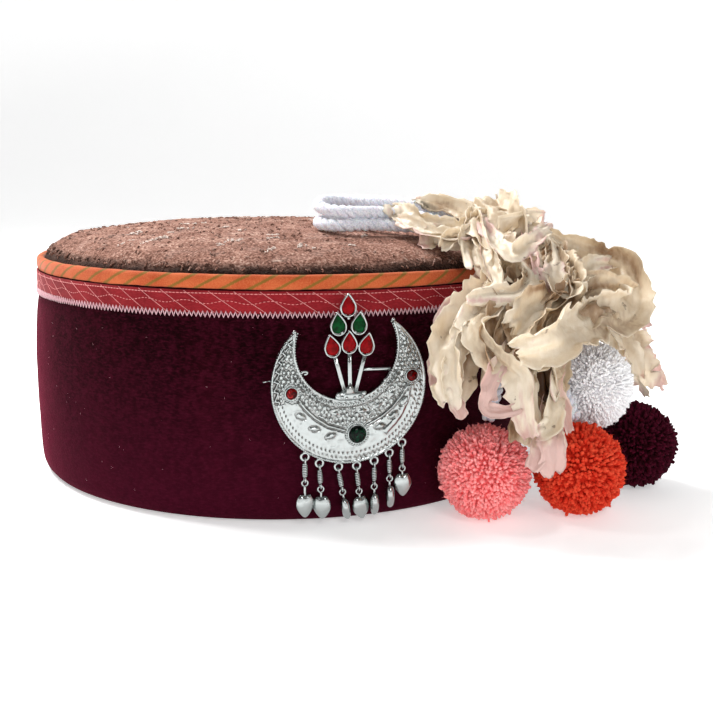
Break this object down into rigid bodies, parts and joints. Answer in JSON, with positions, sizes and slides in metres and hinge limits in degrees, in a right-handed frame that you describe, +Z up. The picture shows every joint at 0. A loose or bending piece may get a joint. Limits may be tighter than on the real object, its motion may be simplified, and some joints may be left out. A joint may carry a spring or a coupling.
{
  "type": "himachali cap",
  "caption": "Low round wool cap with a velvet band, ribbon and binding, a silver crescent brooch with heart drops, and corded pompoms with a papery petal plume.",
  "frame": {"origin": "on the surface that the cap rests on, under the middle of the cap and its brooch, without the cords, pompoms and plume", "axes": "+Z up through the crown, -Y towards the front of the cap, +X towards the side with the pompoms"},
  "size_m": [0.2405, 0.2083, 0.1057],
  "materials": {
    "wool": "handwoven brown wool with pale flecks",
    "velvet": "dark maroon velvet",
    "ribbon": "red ribbon with pale stitching",
    "binding": "orange bias binding with green diagonal stripes",
    "silver": "bright silver, stamped and beaded",
    "red_enamel": "glossy red glass and enamel",
    "green_enamel": "glossy green glass and enamel",
    "cord_wool": "white plied wool cord",
    "petal": "dry papery cream petals with translucent edges",
    "coral_yarn": "coral pink cut yarn",
    "orange_yarn": "orange-red cut yarn",
    "maroon_yarn": "dark maroon cut yarn",
    "white_yarn": "white cut yarn"
  },
  "bodies": {
    "root": {"wool_crown": "wool", "velvet_band": "velvet", "red_ribbon": "ribbon", "orange_binding": "binding", "brooch_crescent": "silver", "brooch_pin": "silver", "stone_red_left": "red_enamel", "stone_red_right": "red_enamel", "stone_green": "green_enamel", "enamel_top": "red_enamel", "enamel_upper_left": "green_enamel", "enamel_upper_right": "green_enamel", "enamel_lower_left": "red_enamel", "enamel_lower_middle": "red_enamel", "enamel_lower_right": "red_enamel", "link_1": "silver", "link_2": "silver", "link_3": "silver", "link_4": "silver", "link_5": "silver", "link_6": "silver", "link_7": "silver", "heart_1": "silver", "heart_2": "silver", "heart_3": "silver", "heart_4": "silver", "heart_5": "silver", "heart_6": "silver", "heart_7": "silver", "cord_low": "cord_wool", "cord_high": "cord_wool", "pompom_coral": "coral_yarn", "pompom_orange": "orange_yarn", "pompom_maroon": "maroon_yarn", "pompom_white": "white_yarn", "petal_plume": "petal"}
  },
  "joints": []
}
